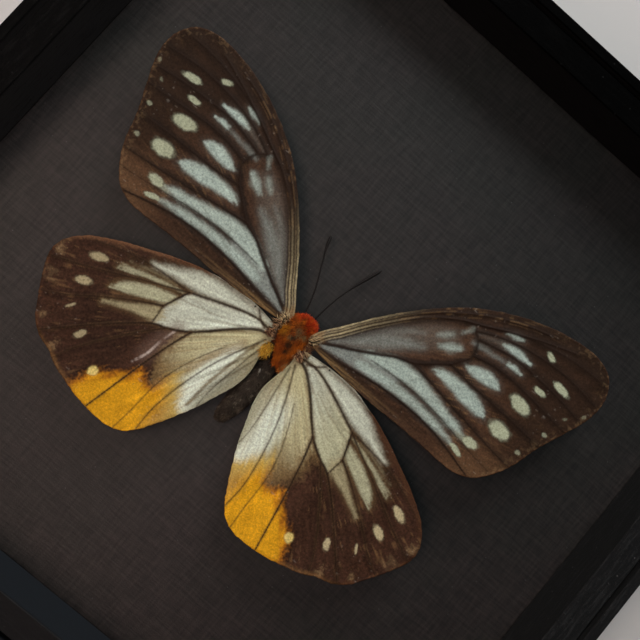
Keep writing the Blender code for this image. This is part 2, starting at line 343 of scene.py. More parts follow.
# (points with half widths, colour, strength, softness)
FOREWING_STROKES = (
    (((4.6, 4.2, 0.5), (8.5, 8.3, 1.5), (12.5, 12, 2.2), (16.5, 15.2, 2.3), (20, 17.6, 1.5)),
     GREY_BROWN, 0.42, 1.4),
    (((5.2, 4.3, 0.2), (8, 6.8, 0.9), (11, 9.2, 1.2), (14, 11.4, 1), (17.5, 13.4, 0.3)), BLUE_GREY, 0.55, 1),
    (((7, 7.6, 0.2), (10.5, 11, 0.7), (13.4, 13.6, 0.6), (16.2, 15.2, 0.2)), BLUE_GREY, 0.34, 0.9),
    (((19.6, 15.3, 0.2), (21.1, 16.2, 0.75), (22.4, 17, 0.4)), BLUE_WHITE, 0.66, 0.6),
    (((18.2, 16.6, 0.2), (19.3, 17.4, 0.45), (20.2, 18.1, 0.25)), BLUE_WHITE, 0.42, 0.6),
    (((21.2, 19.6, 0.15), (21.9, 20.6, 0.3), (22.2, 21.2, 0.1)), BLUE_WHITE, 0.35, 0.4),
    (((4, 2.6, 0.1), (7, 3.6, 0.7), (10, 4.7, 1.4), (13.5, 5.7, 2), (16, 6.4, 1.9)), BLUE_GREY, 0.85, 0.5),
    (((11.5, 6.2, 0.8), (15, 7.6, 1.2), (17.5, 8.1, 1.3), (20.5, 8.05, 1.15), (24, 7.6, 0.95), (27, 7, 0.8),
     (30, 6.5, 0.6), (32, 6.2, 0.2)), BLUE_WHITE, 0.88, 0.55),
    (((11, 4.3, 0.6), (15, 4.8, 0.85), (20, 5.1, 0.8), (24, 4.95, 0.72), (28, 4.5, 0.6), (31.3, 4, 0.2)),
     BLUE_WHITE, 0.72, 0.55),
    (((21.4, 11.7, 0.1), (23, 11.9, 0.75), (25.5, 12, 1.05), (28, 11.7, 1.25), (30.5, 11.4, 1.15),
     (32, 11, 0.8), (32.9, 10.6, 0.2)), BLUE_WHITE, 0.95, 0.45),
    (((25.2, 15.5, 0.1), (26.4, 15.7, 0.7), (27.8, 16, 1), (29.2, 16.2, 1.1), (30.6, 16.2, 0.8),
     (32, 16, 0.15)), BLUE_WHITE, 0.92, 0.45),
    (((23.6, 19.4, 0.3), (25.4, 19.7, 0.45), (27.5, 19.9, 0.36), (30.2, 20.2, 0.2)),
     BLUE_GREY * 0.85, 0.5, 0.4),
    (((30.6, 20.3, 0.15), (31.8, 20.45, 0.42), (33.2, 20.4, 0.12)), BLUE_WHITE, 0.92, 0.3),
    (((23.6, 21.1, 0.15), (26, 21.9, 0.3), (28.2, 22.5, 0.35)), GREY_BROWN, 0.5, 0.4),
    (((27.8, 22.4, 0.15), (29.4, 22.7, 0.55), (31.2, 22.85, 0.62), (33.2, 22.8, 0.15)),
     BLUE_WHITE, 0.92, 0.36),
    (((27.2, 24.3, 0.1), (28.6, 24.7, 0.4), (30, 25.1, 0.12)), BLUE_WHITE, 0.75, 0.4),
    (((31, 5.9, 0.3), (33, 6, 0.45)), SPOT_CREAM, 0.35, 0.5),
)
FOREWING_SPOTS = (
    (35.5, 25.9, 0.95, 0.5, -24, 0.95), (40.1, 22.8, 1.6, 0.6, -8, 1), (37.6, 20.15, 1.1, 0.46, -4, 1),
    (36.4, 16.3, 1.95, 1.02, -12, 1), (36.3, 10.8, 1.95, 1.18, -2, 1), (33.7, 6.05, 1.45, 0.78, 4, 1),
    (32.6, 3.6, 1.25, 0.45, -18, 0.95),
)
FOREWING_EDGE_SPOTS = (
    (42.7, 15, 0.45, 0.32, 0, 0.6), (41, 9.9, 0.5, 0.42, 0, 0.6), (43.8, 19.3, 0.4, 0.25, 30, 0.3),
    (46.1, 21.6, 0.4, 0.25, 60, 0.3),
)
# Ridges along the front edge: (distance from the edge, half width, strength)
FRONT_RIDGES = ((0.16, 0.15, 0.9), (0.62, 0.11, 0.7), (1.12, 0.14, 0.95), (1.62, 0.1, 0.6))
FORE_FAN = (-2, 0)
HIND_FAN = (0, 1)


def edge_distance(x, y, kind):
    return inside(x, y, smooth_curve(OUTLINES[kind], 4, closed=True))


def forewing_color(x, y, side):
    color = ground(x, y, FORE_FAN, BROWN, BROWN_DEEP, FOREWING_VEINS, 2)
    color = mix(color, BROWN_DEEP, 0.75 * ease(27, 41, x + 0.6 * (y - 16)))
    if side == "left":
        color = color * 0.78
    color = mix(color, BROWN_LOW, 0.6 * ease(10, 3, y) * ease(27, 36, x))
    # Grey-brown halos round the streaks; their extra strength on the right wing is painted sheen.
    halo_and_sheen = 0.44 if side == "right" else 0.32
    for number, (line, tint, strength, soft) in enumerate(FOREWING_STROKES):
        mask, near = stroke(x, y, FORE_FAN, line, soft, 0.26, 100 + 7 * number)
        tone = 1 + 0.14 * fan(x, y, FORE_FAN, 1.6, 0.28, 8 + number) + 0.24 * scales(x, y, 60 + number)
        color = mix(color, GREY_BROWN, halo_and_sheen * strength * near)
        color = mix(color, tint * (tone * (0.86 + 0.16 * mask))[..., None], strength * mask)
    color = spots(color, x, y, FOREWING_SPOTS, 20, SPOT_CREAM * (0.86 if side == "left" else 1))
    color = spots(color, x, y, FOREWING_EDGE_SPOTS, 40, SPOT_CREAM * 0.8)
    shade = 0.7 if side == "left" else 0.55 * (1 - 0.6 * ease(28, 38, x))
    color = paint_veins(color, x, y, FOREWING_VEINS, 9, 3.4, shade, VEIN_DARK)
    # The front edge: pale ridges at the root, partly painted highlight, that turn to broken golden hairs
    # further out.
    distance, where = along_curve(x, y, FOREWING_OUTLINE[:13], 5)
    band = ease(3.4, 1.6, distance) * ease(4, 9, x)
    color = mix(color, BROWN_DEEP, 0.75 * band)
    wander = 0.1 * noise(30 * where, distance * 0, 1, 32)
    broken = ease(-0.1, 0.6, noise(60 * where, distance * 2.2, 1, 31))
    at_root, further = ease(16, 6, x), 0.55 * ease(40, 24, x)
    for offset, width, strength in FRONT_RIDGES:
        line = ease(width * 1.8, width * 0.5, abs(distance - offset - wander))
        gap = ease(width * 1.8, width * 0.5, abs(distance - offset - wander - 0.27))
        color = mix(color, VEIN_DARK, 0.75 * at_root * gap)
        ridge = mix(RIDGE_PALE, RIDGE_ROOT, ease(10, 4, x))
        color = mix(color, ridge, strength * at_root * (0.65 + 0.35 * broken) * line)
        color = mix(color, RIDGE_GOLD, strength * (1 - at_root) * further * broken * line)
    # Golden hairs along the hind margin, darker further out.
    hind = ease(2.6, 1.4, y) * ease(34, 8, x)
    hairs = np.clip(0.4 + 0.9 * noise(x / 3, y / 0.2, 1, 33), 0, 1)
    color = mix(color, mix(MARGIN_DARK, MARGIN_GOLD, ease(28, 5, x) * hairs), 0.85 * hind)
    color = mix(color, BROWN_DEEP, 0.6 * ease(0.7, 0.2, abs(y - 2.3)) * ease(4, 8, x) * ease(30, 24, x))
    # A worn rim with a few paler scales.
    rim = edge_distance(x, y, "fore")
    fleck = ease(0.1, 0.7, noise(x, y, 0.5, 35) + 0.5 * noise(x, y, 0.22, 36))
    outer = ease(30, 40, x)
    color = mix(color, EDGE_BROWN, 0.5 * ease(0.4, 0.05, rim) * (0.3 + 0.5 * fleck) * outer)
    color = mix(color, MARGIN_BEIGE, 0.22 * ease(2.2, 0.2, rim) * fleck * outer)
    color = dust(color, x, y, 38, 0.2)
    # Golden hair at the root.
    root = ease(3.6, 2, np.hypot(x - 1.2, y - 2.4) + 0.5 * noise(x, y, 0.5, 37))
    return mix(color, ROOT_GOLD, 0.55 * root)


HIND_YELLOW = (
    (4.3, -21), (6.2, -20.4), (7.2, -17.6), (8.4, -14.6), (9.6, -14.4), (10.8, -16.6), (11.8, -20.6),
    (13, -20.8), (14.4, -19.6), (15.2, -19.4), (15.9, -21.2), (17.3, -22), (18.7, -23.6), (20, -24.2),
    (21, -25.6), (21.4, -27), (22.4, -29.2), (20, -32), (12, -33), (6, -30), (3, -23),
)
HIND_CELL = (
    (3.6, -1.2), (6, -0.8), (9, -1.5), (12.5, -2.9), (17.6, -5.1), (18.4, -7.2), (19.3, -9.6), (18.8, -13),
    (16.4, -11.9), (13.6, -10.2), (11.2, -7.9), (8.5, -5), (5.5, -2.4),
)
HIND_PALE = (
    (2.9, -0.8), (5.5, 1), (10.5, -3.4), (14.2, -8.4), (15, -12), (14.6, -15.5), (13.4, -18.5), (12, -21.5),
    (11, -26), (6, -26), (3.6, -24), (1, -18), (-0.5, -8), (1, -1),
)
HIND_STROKES = (
    (((3, -0.2, 0.5), (6, 0, 0.7), (10, -0.6, 1.2), (14, -1.6, 1.6), (17, -2.5, 1.7), (19.5, -3.5, 1.2),
     (22, -4.5, 0.7), (24.8, -5.4, 0.2)), CREAM_WHITE, 0.92, 0.9),
    (((19.3, -8.1, 1.1), (21.5, -9, 1.1), (24, -10.3, 1), (26.2, -11.6, 0.72), (27.8, -12.7, 0.15)),
     CREAM * 0.86, 0.98, 0.36),
    (((19.2, -11.5, 1.3), (21.2, -12.3, 0.95), (23.5, -13.4, 0.55), (25.6, -14.6, 0.3), (27, -15.4, 0.1)),
     CREAM_DARK, 0.85, 0.45),
    (((18.4, -5.8, 0.2), (21, -6.5, 0.25), (24, -7.5, 0.3), (26.5, -8.5, 0.42), (28, -9.1, 0.36),
     (29, -9.7, 0.1)), CREAM * 0.9, 0.72, 0.34),
    (((20, -5.6, 0.15), (24, -6.5, 0.2), (28, -7.8, 0.1)), BEIGE, 0.3, 0.3),
)
HIND_SPOTS = (
    (32.3, -10.6, 1.4, 0.66, -24, 1), (31.5, -15.05, 1.3, 0.66, -32, 1),
    (30.3, -19.4, 0.85, 0.22, -58, 0.85), (26.1, -21.9, 1, 0.52, -62, 1),
)
HIND_TAIL_SPOT = ((20.5, -24.9, 0.85, 0.72, -60, 0.95),)
# Faint lines in the cell: (points, strength)
HIND_CELL_LINES = (
    (((9, -3.7), (13, -5.4), (18.2, -7)), 0.35), (((13, -5.4), (16.5, -5.6)), 0.25),
    (((5, -1.9), (10, -5.2), (15, -8.6)), 0.2),
)
# Beige marks on the outer margin: (x, y, size)
HIND_MARGIN_MARKS = ((36.2, -17.6, 1.7), (28, -26, 1), (32.4, -23.6, 0.9), (37.6, -13.6, 1))
# Folds of the left hindwing.
RIDGE_CURVE = ((4.6, -4.6), (6.3, -10), (7.1, -15), (6.6, -21.3))
HOLLOW_CURVE = ((5.4, -5.4), (8, -10.6), (9.3, -15))
CREASE_CURVE = ((3.7, -3.8), (4.7, -9), (5.4, -14), (5.6, -19))
FOLD_CURVE = ((15, -11), (15.7, -14), (16, -17), (16.9, -19.6))


def hindwing_color(x, y, side):
    left = side == "left"
    color = ground(x, y, HIND_FAN, BROWN_RED, BROWN_RED_DEEP, HINDWING_VEINS, 42)
    color = color * (1 - (0.22 if left else 0.1) * ease(8, 2, np.hypot(x - 24, y + 19)))[..., None]
    color = color * (0.86 if left else 0.97)
    streak = fan(x, y, HIND_FAN, 2.4, 0.3, 44)
    speck = scales(x, y, 45)
    rough = 0.4 * streak + 0.7 * speck
    # Long streaks of painted light and shade along the wing's pleats; they also shape the yellow patch.
    pleat_shade_streaks = fan(x, y, HIND_FAN, 9, 0.42, 48) + 0.6 * fan(x, y, HIND_FAN, 5, 0.2, 49)
    grain = (1 + 0.05 * streak + 0.11 * speck + 0.13 * pleat_shade_streaks)[..., None]
    # Base and inner half: cream, thinning to olive specks where it meets the dark field.
    pale = inside(x, y, HIND_PALE)
    reach = np.clip(ease(-19.5, -10.5, y + 0.9 * rough) + ease(10, 7, x), 0, 1)
    color = mix(color, OLIVE, 0.6 * ease(-1 if left else -2.6, 0.9, pale + 1.3 * rough))
    color = mix(color, CREAM_YELLOW * grain, ease(-0.6, 2.6, pale + 1.2 * rough) * reach)
    inner = ease(10.4, 6.8, x + 0.12 * (y + 14) + 0.4 * streak) * ease(-5, -12, y)
    color = mix(color, (CREAM_WHITE if left else WHITE) * grain, 0.95 * inner)
    # The inner margin gets painted shade; on the left wing it folds down, with painted shade in the hollow
    # and the crease and a bright ridge beside it that is partly painted highlight.
    shaded = ease(5.4, 2.6, x + 0.14 * (y + 10) + 0.3 * streak)
    color = mix(color, BEIGE * (0.62 if left else 0.95), 0.8 * shaded * ease(-23, -17, y))
    if left:
        ridge, where = along_curve(x, y, RIDGE_CURVE)
        color = mix(color, WHITE, 0.95 * ease(1.6, 0.5, ridge + 0.3 * streak) * ease(0, 0.2, where))
        hollow, _ = along_curve(x, y, HOLLOW_CURVE)
        color = mix(color, OLIVE, 0.55 * ease(1, 0.2, hollow + 0.3 * streak))
        crease, _ = along_curve(x, y, CREASE_CURVE)
        color = mix(color, OLIVE * 0.45, 0.7 * ease(0.42, 0.1, crease + 0.1 * speck))
    # Painted shade in the pleats over the pale parts, stronger on the left wing.
    pleat = ease(0.25, 0.6, fan(x, y, HIND_FAN, 16, 0.34, 98)) * ease(5, 9, np.hypot(x, y))
    color = mix(color, OLIVE, (0.42 if left else 0.26) * pleat * ease(-0.4, 1.4, pale))
    cell = inside(x, y, HIND_CELL)
    bright = (WHITE if left else CREAM_WHITE) * 0.92
    inside_tone = mix(bright, CREAM_WHITE if left else CREAM, ease(5, 17, x)) * grain
    color = mix(color, inside_tone, 0.97 * ease(-0.25, 0.4, cell + 0.3 * rough))
    for line, strength in HIND_CELL_LINES:
        distance, _ = along_curve(x, y, line)
        color = mix(color, CELL_BROWN, strength * ease(0.3, 0.05, distance + 0.08 * speck))
    for number, (line, tint, strength, soft) in enumerate(HIND_STROKES):
        mask, near = stroke(x, y, HIND_FAN, line, soft, 0.34, 50 + 7 * number)
        tone = (1 + 0.12 * streak + 0.16 * speck) * (0.9 + 0.12 * mask)
        color = mix(color, OLIVE * 0.8, 0.4 * strength * near)
        color = mix(color, tint * tone[..., None], strength * mask)
    # The yellow patch: a stain that deepens from cream, amber beside the dark field, tan at the inner margin.
    patch = inside(x, y, HIND_YELLOW)
    yellow = mix(AMBER, YELLOW, ease(-0.2, 1.9, patch + 0.6 * streak))
    yellow = yellow * (1 + 0.16 * noise(x, y, 2.4, 47) + 0.1 * pleat_shade_streaks + 0.09 * speck)[..., None]
    tan = ease(10.2, 6.6, x + 0.5 * streak)[..., None]
    yellow = yellow * (1 - tan) + TAN * (1 + 0.16 * streak)[..., None] * tan
    outward = np.clip(x - 12, 0, 9)
    onset = np.interp(x, (7, 10.5), (-16.5, -13.6))
    full = np.interp(x, (7, 10.5), (-26.5, -22.6))
    deepen = np.clip((y - 0.9 * outward + 0.7 * pleat_shade_streaks - onset) / (full - onset), 0, 1)
    within = ease(-0.9, 1.1, patch + 0.8 * rough)
    stained = mix(STAIN, yellow, ease(0.22, 0.88, deepen)) * (0.88 if left else 0.97)
    color = mix(color, stained, within * ease(0, 0.48, deepen))
    if left:
        # A narrow fold catches the light beside the last vein of the cell.
        fold, where = along_curve(x, y, FOLD_CURVE)
        broken = ease(-0.7, 0.5, noise(20 * where, fold, 1, 82))
        color = mix(color, FOLD_BROWN, 0.6 * ease(2.6, 0.2, fold + 0.6 * speck) * ease(1, 0.7, where))
        color = mix(color, FOLD_PALE, 0.75 * broken * ease(0.3, 0.08, fold))
    color = spots(color, x, y, HIND_SPOTS, 70, SPOT_HIND * (0.66 if left else 0.92))
    color = spots(color, x, y, HIND_TAIL_SPOT, 78, SPOT_YELLOW)
    veined = paint_veins(color, x, y, HINDWING_VEINS, 12, 4.2, 0.6, VEIN_SIDE)
    color = mix(color, veined, 1 - 0.35 * ease(20, 26, x))
    # The front edge: a thin painted highlight near the root, then brown; beige flecks on the outer margin.
    rim = edge_distance(x, y, "hind")
    front = ease(12.5, 19, x) * ease(-13, -9, y)
    front = 0.8 * front * ease(0.8 if left else 1.3, 0.1, rim + 0.5 * rough)
    color = mix(color, FRONT_BROWN[side], front)
    edge_highlight = ease(6, 11, x) * ease(18, 15, x) * ease(-6, -2, y)
    color = mix(color, WHITE, 0.7 * edge_highlight * ease(0.3, 0.12, rim))
    fleck = ease(0, 0.6, noise(x, y, 0.7, 80) + 0.5 * noise(x, y, 0.25, 81))
    outer = ease(20, 26, x) * ease(-11, -14, y)
    color = mix(color, EDGE_BROWN, 0.55 * outer * ease(0.8, 0.1, rim) * fleck)
    for cx, cy, size in HIND_MARGIN_MARKS:
        away = np.hypot(x - cx, y - cy) + 0.8 * speck + 0.6 * streak
        color = mix(color, MARGIN_BEIGE, 0.55 * ease(size, 0.2 * size, away) * (0.4 + 0.6 * fleck))
    low = ease(1, 0.2, rim) * ease(20, 22.5, x) * ease(-25, -27, y)
    color = mix(color, LOBE_BROWN, 0.6 * low * (0.6 + 0.4 * speck))
    color = dust(color, x, y, 83, 0.25)
    return mix(color, SPECK_BLACK, ease(0.24, 0.12, np.hypot(x - 8.2, y - 0.4)))


# ---- wing shapes ----

# Millimetres, apart from the shares of the spacing between points.
WING_SPACING = 0.18
ROW_SHARE = 0.87
RIM_SHARE = 0.55
WING_SKIN = 0.1
RIDGE_HEIGHT = 0.13
PLATE_HEIGHT = 0.3
UNDERSIDE_SHADE = 0.7


def wing_lift(x, y, kind):
    """Height of the wing's upper face above its flat plane, in millimetres."""
    nearest = np.full(x.shape, FAR)
    lift = np.zeros(x.shape)
    for distance, width, _, relief in vein_fields(x, y, VEINS[kind]):
        lift = lift + relief * np.exp(-(distance / (width * 0.9)) ** 2)
        if relief > 0:
            nearest = np.minimum(nearest, distance)
    reach = ease(1, 12, x) * (1 - (0.6 if kind == "hind" else 0.15) * ease(17, 22, x))
    lift = lift + RIDGE_HEIGHT * reach * (np.exp(-(nearest / 0.9) ** 2) - 0.5)
    lift = lift + 0.05 * noise(x, y, 2.2, 90)
    if kind == "hind":
        lift = lift - 0.5 * ease(5.5, 1.5, x) * ease(-4, -10, y)
        lift = lift + 0.12 * np.sin(x * 0.55 + 0.1 * y) * ease(2, 8, x)
        pleat = fan(x, y, HIND_FAN, 14, 0.95, 97)
        lift = lift + 0.13 * pleat * ease(3, 7, np.hypot(x, y)) * ease(17, 11, x)
    rim = edge_distance(x, y, kind)
    return lift * ease(-0.05, 0.5, rim) + 0.02 * noise(x, y, 0.4, 91)


def wing_points(kind):
    """Outline and inner points of the right wing, in millimetres, and its triangles."""
    outline = smooth_curve(OUTLINES[kind], 16, closed=True)
    steps = np.hypot(*(np.roll(outline, -1, axis=0) - outline).T)
    count = int(steps.sum() / WING_SPACING)
    share = np.concatenate([[0], np.cumsum(steps)])
    at = np.linspace(0, share[-1], count, endpoint=False)
    closed = np.vstack([outline, outline[:1]])
    loop = np.stack([np.interp(at, share, closed[:, k]) for k in (0, 1)], 1)
    ragged = 0.05 * noise(*loop.T, 0.35, 95) + 0.05 * noise(*loop.T, 1.1, 96)
    forward = np.roll(loop, -1, axis=0) - np.roll(loop, 1, axis=0)
    normal = np.stack([-forward[:, 1], forward[:, 0]], 1) / np.hypot(*forward.T)[:, None]
    loop = loop + normal * (ragged * ease(6, 16, np.hypot(*loop.T)))[:, None]
    low, high = loop.min(0), loop.max(0)
    rows = np.arange(low[1], high[1], WING_SPACING * ROW_SHARE)
    lattice = []
    for number, row in enumerate(rows):
        xs = np.arange(low[0] + (number % 2) * WING_SPACING / 2, high[0], WING_SPACING)
        lattice.append(np.stack([xs, np.full(xs.shape, row)], 1))
    lattice = np.vstack(lattice)
    keep = inside(*lattice.T, loop[::2]) > WING_SPACING * RIM_SHARE
    points = np.vstack([loop, lattice[keep]])
    edges = [(k, (k + 1) % count) for k in range(count)]
    found = delaunay_2d_cdt([Vector(p) for p in points], edges, [], 1, 1e-6)
    return np.array([tuple(p) for p in found[0]]), np.array([list(f) for f in found[2]])


PATTERN = "pattern"


def set_vertex_colors(mesh, colors):
    """Stores linear colours on the mesh's points."""
    layer = mesh.color_attributes.new(PATTERN, "FLOAT_COLOR", "POINT")
    rgba = np.concatenate([np.clip(colors, 0, 1), np.ones((len(colors), 1))], 1)
    layer.data.foreach_set("color", rgba.astype(np.float32).ravel())


def mesh_from(name, verts, faces, material, colors=None, smooth=True):
    mesh = bpy.data.meshes.new(name)
    mesh.from_pydata([tuple(v) for v in verts], [], [tuple(f) for f in faces])
    if colors is not None:
        set_vertex_colors(mesh, colors)
    mesh.materials.append(material)
    if smooth:
        mesh.shade_smooth()
    item = bpy.data.objects.new(name, mesh)
    bpy.context.scene.collection.objects.link(item)
    return item


def to_frame(x, y, z, kind, side):
    """Wing millimetres to frame metres. z is the height above the wing's flat plane."""
    mirror = -1 if side == "left" else 1
    root = WING_ROOT[kind]
    a = math.radians(WING_SWEEP[kind, side])
    dx, dy = x - root[0], y - root[1]
    px = root[0] + dx * math.cos(a) - dy * math.sin(a)
    py = root[1] + dx * math.sin(a) + dy * math.cos(a)
    height = z + WING_HEIGHT[kind] + px * math.tan(math.radians(WING_RISE[side]))
    return np.stack([BODY_X + mirror * px * MM, BODY_Y + py * MM, BOARD_TOP + height * MM], -1)


def add_wing(kind, side, shape, material):
    """One wing as a thin closed skin: upper face, lower face and the wall between them."""
    points, triangles = shape
    x, y = points.T
    lift = wing_lift(x, y, kind) + PLATE_HEIGHT
    color = forewing_color(x, y, side) if kind == "fore" else hindwing_color(x, y, side)
    count = len(points)
    top = to_frame(x, y, lift, kind, side)
    bottom = to_frame(x, y, lift - WING_SKIN, kind, side)
    a, b, c = triangles.T
    cross = (x[b] - x[a]) * (y[c] - y[a]) - (x[c] - x[a]) * (y[b] - y[a])
    triangles = np.where((cross < 0)[:, None], triangles[:, ::-1], triangles)
    sides = np.vstack([triangles[:, [0, 1]], triangles[:, [1, 2]], triangles[:, [2, 0]]])
    known = set(map(tuple, sides))
    turn = 1 if side == "right" else -1
    walls = [(q, p, p + count, q + count)[::turn] for p, q in known if (q, p) not in known]
    faces = [*triangles[:, ::turn], *(triangles[:, ::-turn] + count), *walls]
    colors = np.vstack([color, color * UNDERSIDE_SHADE])
    wing = mesh_from(f"{kind}wing_{side}_membrane", np.vstack([top, bottom]), faces, material, colors)
    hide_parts(f"{kind}wing_{side}")
    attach(wing, "root")


# ---- materials ----

BOARD_DARK = srgb(96, 72, 50)
BOARD_PALE = srgb(148, 118, 86)


def new_material(name, roughness, specular):
    material = bpy.data.materials.new(name)
    material.use_nodes = True
    shader = material.node_tree.nodes["Principled BSDF"]
    shader.inputs["Roughness"].default_value = roughness
    shader.inputs["Specular IOR Level"].default_value = specular
    return material, material.node_tree, shader


def add_node(tree, kind, inputs=None, **settings):
    node = tree.nodes.new(f"ShaderNode{kind}")
    for key, value in settings.items():
        setattr(node, key, value)
    for key, value in (inputs or {}).items():
        if isinstance(value, bpy.types.NodeSocket):
            tree.links.new(value, node.inputs[key])
        else:
            node.inputs[key].default_value = value
    return node


def object_point(tree, scale=(1.0, 1.0, 1.0)):
    """The point in the frame, in millimetres."""
    coordinate = add_node(tree, "TexCoord")
    mapping = add_node(tree, "Mapping", {"Vector": coordinate.outputs["Object"]})
    mapping.inputs["Scale"].default_value = tuple(1000.0 * s for s in scale)
    return mapping.outputs["Vector"]


def pattern_color(tree):
    return add_node(tree, "Attribute", attribute_name=PATTERN).outputs["Color"]


def noise_level(tree, point, scale, detail, roughness=0.5):
    inputs = {"Vector": point, "Scale": scale, "Detail": detail, "Roughness": roughness}
    return add_node(tree, "TexNoise", inputs).outputs["Fac"]


def blend(tree, factor, first, second, blend_type="MIX"):
    """Blends two colours, each of them a socket or three levels."""
    first, second = (c if isinstance(c, bpy.types.NodeSocket) else (*c, 1) for c in (first, second))
    inputs = {0: factor, 6: first, 7: second}
    return add_node(tree, "Mix", inputs, data_type="RGBA", blend_type=blend_type).outputs[2]


def color_ramp(tree, value, low, high, dark, light):
    """Mixes two colours as a value goes from low to high."""
    level = add_node(tree, "MapRange", {"Value": value, "From Min": low, "From Max": high})
    return blend(tree, level.outputs["Result"], dark, light)


def add_specks(tree, base, point, scale, reach, core, level):
    """Pale grains of dust over a base colour."""
    cells = add_node(tree, "TexVoronoi", {"Vector": point, "Scale": scale}, feature="F1")
    return color_ramp(tree, cells.outputs["Distance"], reach, core, base, (level, level, level))


def coat(tree, shader, color, relief, strength, depth):
    """Gives the shader its colour and a fine relief, depth in metres."""
    tree.links.new(color, shader.inputs["Base Color"])
    bump = add_node(tree, "Bump", {"Height": relief, "Strength": strength, "Distance": depth})
    tree.links.new(bump.outputs["Normal"], shader.inputs["Normal"])


def wing_material(name):
    """Painted scales: the wing's pattern with a fine grain and relief."""
    material, tree, shader = new_material(name, 0.62, 0.08)
    point = object_point(tree)
    grain = noise_level(tree, point, 3.2, 3.0, 0.7)
    limits = {"From Min": 0.34, "From Max": 0.66, "To Min": 0.74, "To Max": 1.26}
    level = add_node(tree, "MapRange", {"Value": grain, **limits})
    color = blend(tree, 1.0, pattern_color(tree), level.outputs["Result"], "MULTIPLY")
    coat(tree, shader, color, noise_level(tree, point, 6.5, 2.0), 0.35, 0.00004)
    return material


def hair_material(name, roughness=0.7):
    material, tree, shader = new_material(name, roughness, 0.2)
    tree.links.new(pattern_color(tree), shader.inputs["Base Color"])
    return material


def painted_wood(name, along, face, rim, fleck, worn, gloss):
    """Matt black paint: brushed grain along the strip, a rim of its own tone, pale flecks and dust."""
    material, tree, shader = new_material(name, 0.6, gloss)
    point = object_point(tree)
    brushed = object_point(tree, (0.12, 1.0, 1.0) if along == "x" else (1.0, 0.12, 1.0))
    brush = noise_level(tree, brushed, 1.6, 4.0, 0.7)
    fine = noise_level(tree, point, 2.2, 4.0, 0.8)
    height = add_node(tree, "SeparateXYZ", {0: point}).outputs["Z"]
    rim_height = RIM / MM
    base = color_ramp(tree, height, rim_height - 0.5, rim_height - 0.1, face, rim)
    base = color_ramp(tree, brush, 0.5, 0.9, base, fleck)
    base = color_ramp(tree, fine, 0.74 - 0.16 * worn, 0.86 - 0.12 * worn, base, fleck)
    base = add_specks(tree, base, point, 0.55, 0.1, 0.04, 0.012 + 0.06 * worn)
    coat(tree, shader, base, fine, 0.5, 0.00012)
    return material


def linen_paper(name):
    """Dark paper with an embossed linen weave: fine threads of uneven weight along both sides of the box."""
    material, tree, shader = new_material(name, 0.5, 0.25)
    lengthwise, crosswise = (noise_level(tree, object_point(tree, scale), 2.1, 2.0, 0.6)
                             for scale in ((0.1, 1.0, 1.0), (1.0, 0.1, 1.0)))
    weave = add_node(tree, "Math", {0: lengthwise, 1: crosswise}, operation="ADD").outputs[0]
    point = object_point(tree)
    base = color_ramp(tree, weave, 0.72, 1.28, (0.0068, 0.0066, 0.0064), (0.0196, 0.0182, 0.0173))
    broad = noise_level(tree, point, 0.05, 3.0)
    warm = color_ramp(tree, broad, 0.38, 0.62, (0.92, 0.97, 0.93), (1.13, 1.04, 1.05))
    tinted = blend(tree, 1.0, base, warm, "MULTIPLY")
    # Painted warm light: the paper is a little warmer towards the butterfly's tail.
    forward = add_node(tree, "SeparateXYZ", {"Vector": point}).outputs["Y"]
    painted_warm_light = color_ramp(tree, forward, -45.0, 45.0, (1.07, 0.97, 0.93), (0.99, 1.05, 1.05))
    warm_lit_paper = blend(tree, 1.0, tinted, painted_warm_light, "MULTIPLY")
    dusty = add_specks(tree, warm_lit_paper, point, 0.42, 0.055, 0.02, 0.05)
    fine = noise_level(tree, point, 4.5, 2.0)
    height = add_node(tree, "Math", {0: weave, 1: fine}, operation="ADD").outputs[0]
    coat(tree, shader, dusty, height, 0.4, 0.00008)
    return material


def brown_board(name):
    material, tree, shader = new_material(name, 0.85, 0.3)
    fibre = noise_level(tree, object_point(tree, (1.0, 0.15, 1.0)), 1.4, 5.0, 0.7)
    coat(tree, shader, blend(tree, fibre, BOARD_DARK, BOARD_PALE), fibre, 0.3, 0.0001)
    return material


# ---- body ----

# How low over the mount board the body and its hair come, in millimetres.
BODY_LOW = 0.3
HAIR_LOW = 0.25
# The body under the hair is darker than the hair.
FORM_SHADE = {"thorax": 0.6, "head": 0.5, "abdomen": 0.55}


def body_surface(lengthwise, turn, form):
    """A point and its outward direction on a rounded body part, in millimetres from the thorax's centre."""
    rear, front, half_width, half_height, centre_z, middle_x, bend, taper = form
    angle = math.pi * lengthwise
    along = (1 - np.cos(angle)) / 2
    girth = np.sin(angle) ** 0.8 * (1 - taper * (1 - along) ** 1.5)
    y = rear + (front - rear) * along
    x = middle_x + bend * (1 - along) ** 2 + half_width * girth * np.cos(turn)
    z = centre_z + half_height * girth * np.sin(turn)
    slope = np.cos(angle) * 1.1
    normal = unit(np.stack([np.cos(turn), -slope, np.sin(turn)], -1))
    return np.stack([x, y, np.maximum(z, BODY_LOW)], -1), normal


# Rear end, front end, half width, half height, middle's height, middle's x, rear's bend, rear's taper.
THORAX_FORM = (-3.9, 4.5, 2.9, 2.6, 3.6, -0.35, 1.3, 0.6)
HEAD_FORM = (1.9, 4.9, 1.8, 1.8, 3.8, 0.3, 0, 0)
ABDOMEN_FORM = (-17.7, -4.2, 1.8, 1.35, 1.8, 0, -0.6, 0)


def to_body(points):
    return np.asarray(points) * MM + np.array([BODY_X, BODY_Y, BOARD_TOP])


def tube_faces(rings, sides, outward=True):
    """Quads between neighbouring rings of points, and a cap at both ends."""
    faces = []
    for low in range(0, (rings - 1) * sides, sides):
        for side in range(sides):
            after = (side + 1) % sides
            quad = (low + side, low + sides + side, low + sides + after, low + after)
            faces.append(quad if outward else quad[:1] + quad[:0:-1])
    caps = [tuple(range(sides)), tuple(reversed(range((rings - 1) * sides, rings * sides)))]
    return faces + (caps if outward else [cap[::-1] for cap in caps])


